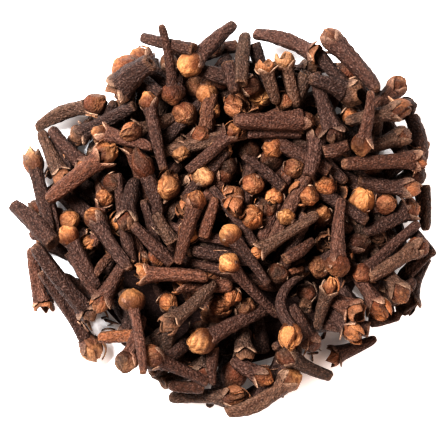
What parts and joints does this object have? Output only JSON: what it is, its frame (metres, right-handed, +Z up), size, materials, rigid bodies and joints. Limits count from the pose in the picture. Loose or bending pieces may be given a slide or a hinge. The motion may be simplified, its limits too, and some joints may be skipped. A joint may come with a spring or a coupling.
{
  "type": "heap of whole cloves",
  "caption": "Loose round heap of dried whole cloves as it lies on a flat surface: dark stems with tan round buds, crossed every way.",
  "frame": {"origin": "middle of the heap's outline, on the flat surface that it lies on", "axes": "+Z up, +X to the right and +Y away from the viewer as the heap is seen from above in the picture"},
  "size_m": [0.0884, 0.0812, 0.0223],
  "materials": {
    "clove": "dry, wrinkled and matt, dark grey-brown stems",
    "clove_bud": "dry, papery and faintly satin, tan to orange-brown petals",
    "clove_core": "rough and matt, near black in the shade between the cloves"
  },
  "bodies": {
    "root": {"clove_heap": "clove"}
  },
  "joints": []
}
